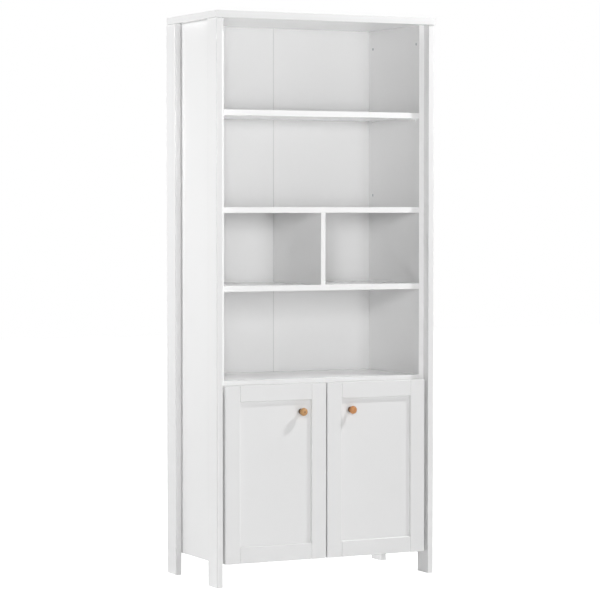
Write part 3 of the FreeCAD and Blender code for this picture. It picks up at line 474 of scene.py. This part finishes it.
# Doors: four frame members of fibreboard, tongued together round a thin panel and lacquered white,
# even and softly shining. Clear polyurethane dots stuck behind each door soften its closing.
door_paint = lacquer("satin_lacquer_doors", ("#E8E8E8", "#EBEBEB"), 0.34)
for side in SIDES:
    finish(door_paint, *(f"{side}_door_{part}" for part in (
        "hinge_stile", "meeting_stile", "bottom_rail", "top_rail", "panel")))
soft_clear = plain_plastic("soft_clear_polyurethane", "#DDE0E2", 0.25)
finish(soft_clear, "left_door_bumpers", "right_door_bumpers")


# Knobs: each is turned in one piece from a beech rod, with a foot, a narrow waist and a domed
# mushroom head. Clear lacquer turns the wood orange. End grain shows on the face, as rings, dark
# pores drawn coarser than they are, and a small heart. Shade is painted into the colour low on
# the knob, dark over the foot and waist and fading out towards the head that shades them.
RING = 2.4 * MM
PORE = 0.8 * MM
PORE_DEPTH = 0.05 * MM
STREAK = 0.12
PITH = 4.5 * MM
KNOB_PROFILE = [
    (0, 0), (8.6, 0), (9.2, 0.5), (9.3, 2), (8.7, 3.1), (7.1, 4.8), (6, 7), (5.5, 9.4),
    (5.5, 11.4), (6.1, 13), (7.7, 14.1), (9.9, 15), (11.8, 16.3), (12.8, 18), (13, 19.8),
    (12.6, 21.7), (11.6, 23.5), (10, 25.2), (7.8, 26.6), (5.2, 27.5), (2.6, 27.9), (0, 28)]
# Painted shade in the waist: full up to the first height above the door, gone by the second.
WAIST_SHADE_FULL = 10 * MM
WAIST_SHADE_END = 16 * MM
OFF_HEART = 16 * MM


def lacquered_beech(name, pale, ringed, pores, heart, waist_shade, off_centre):
    """Turned beech under clear lacquer, its rings about a heart this far off the knob's middle.
    The waist colour is painted shade, laid over the wood low on the knob, where the head shades it.
    """
    material, out = blank_material(name)
    tree = material.node_tree
    place = add(tree, "TexCoord").outputs["Object"]
    log = add(tree, "Mapping", {"Vector": place, "Location": (off_centre, 0.4 * off_centre, 0)})
    rings = add(tree, "TexWave", {"Vector": log.outputs[0], "Scale": math.pi / (10 * RING),
                                  "Distortion": 3.2, "Detail": 3, "Detail Scale": 2.2},
                wave_type="RINGS", rings_direction="Z")
    along = add(tree, "Mapping", {"Vector": place, "Scale": (1, 1, STREAK)})
    flecks = add(tree, "TexNoise", {"Vector": along.outputs[0], "Scale": 1 / PORE, "Detail": 4})
    grain = add(tree, "MixRGB", {"Fac": rings.outputs["Fac"], "Color1": linear(ringed),
                                 "Color2": linear(pale)})
    pore_mask = add(tree, "MapRange", {"Value": flecks.outputs["Fac"], "From Min": 0.5,
                                       "From Max": 0.66, "To Max": 0.8})
    pored = add(tree, "MixRGB", {"Fac": pore_mask.outputs[0], "Color1": grain.outputs[0],
                                 "Color2": linear(pores)})
    flat = add(tree, "VectorMath", {0: log.outputs[0], 1: (1, 1, 0)}, operation="MULTIPLY")
    reach = add(tree, "VectorMath", {0: flat.outputs[0]}, operation="LENGTH")
    near_heart = add(tree, "MapRange", {"Value": reach.outputs["Value"], "From Max": PITH,
                                        "To Min": 0.95, "To Max": 0})
    hearted = add(tree, "MixRGB", {"Fac": near_heart.outputs[0], "Color1": pored.outputs[0],
                                   "Color2": linear(heart)})
    # Painted shade: low on the knob, where the head shades the waist and foot, the colour is
    # darkened towards the waist colour, fading out towards the head.
    height = add(tree, "SeparateXYZ", {0: place}).outputs["Z"]
    waist_shade_mask = add(tree, "MapRange", {"Value": height, "From Min": WAIST_SHADE_FULL,
                                      "From Max": WAIST_SHADE_END, "To Min": 0.9, "To Max": 0})
    waist_shaded = add(tree, "MixRGB", {"Fac": waist_shade_mask.outputs[0], "Color1": hearted.outputs[0],
                                   "Color2": linear(waist_shade)})
    relief = add(tree, "Bump", {"Height": flecks.outputs["Fac"], "Strength": 0.12,
                                "Distance": PORE_DEPTH})
    wood = add(tree, "BsdfPrincipled", {
        "Base Color": waist_shaded.outputs[0], "Roughness": 0.38, "IOR": 1.5, "Coat Weight": 0.2,
        "Coat Roughness": 0.22, "Normal": relief.outputs[0]})
    tree.links.new(wood.outputs[0], out.inputs["Surface"])
    return material


# The fifth colour of each knob is painted shade for its waist.
KNOB_BEECH = {
    "left": lacquered_beech("lacquered_beech_pale", "#D8A66C", "#BC8B50", "#87592F", "#63360F",
                            "#3C2A1A", 0),
    "right": lacquered_beech("lacquered_beech_warm", "#DA9858", "#BC7C42", "#80491F", "#A86A33",
                             "#5A3C24", OFF_HEART),
}
for side in SIDES:
    low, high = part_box(f"{side}_door_knob")
    knob = as_piece(f"{side}_turned_knob", turned(KNOB_PROFILE, steps=48))
    knob.data.materials.append(KNOB_BEECH[side])
    round_off = knob.modifiers.new("round_off", "SUBSURF")
    round_off.levels = round_off.render_levels = 1
    knob.location = ((low.x + high.x) / 2, high.y, (low.z + high.z) / 2)
    knob.rotation_euler = (math.radians(90), 0, 0)
    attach(knob, f"{side}_door")
    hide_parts(f"{side}_door_knob")

# Hinges: pressed steel cups, arms and plates, nickel plated to a warm silver. Short cross recess
# screws hold the cups and plates in the boards, and a shorter one clamps each arm to its plate.
nickel = plated_metal("nickel_plate", "#C4C4C4", 0.26, 1.2 * MM, 0.06)
HINGE_SCREW = pan_screw(3.5, 1.8, 1.65, 12.8)
CLAMP_SCREW = pan_screw(3.5, 1.8, 1.65, 7.2)
for side in SIDES:
    finish(nickel, *(f"{side}_hinge_{part}" for part in ("cups", "pins", "arms", "plates")))
    drive(f"{side}_hinge_cup_screws", f"{side}_door", nickel, HINGE_SCREW, False)
    drive(f"{side}_hinge_plate_screws", "carcass", nickel, HINGE_SCREW, True)
    drive(f"{side}_hinge_clamp_screws", "carcass", nickel, CLAMP_SCREW, True)
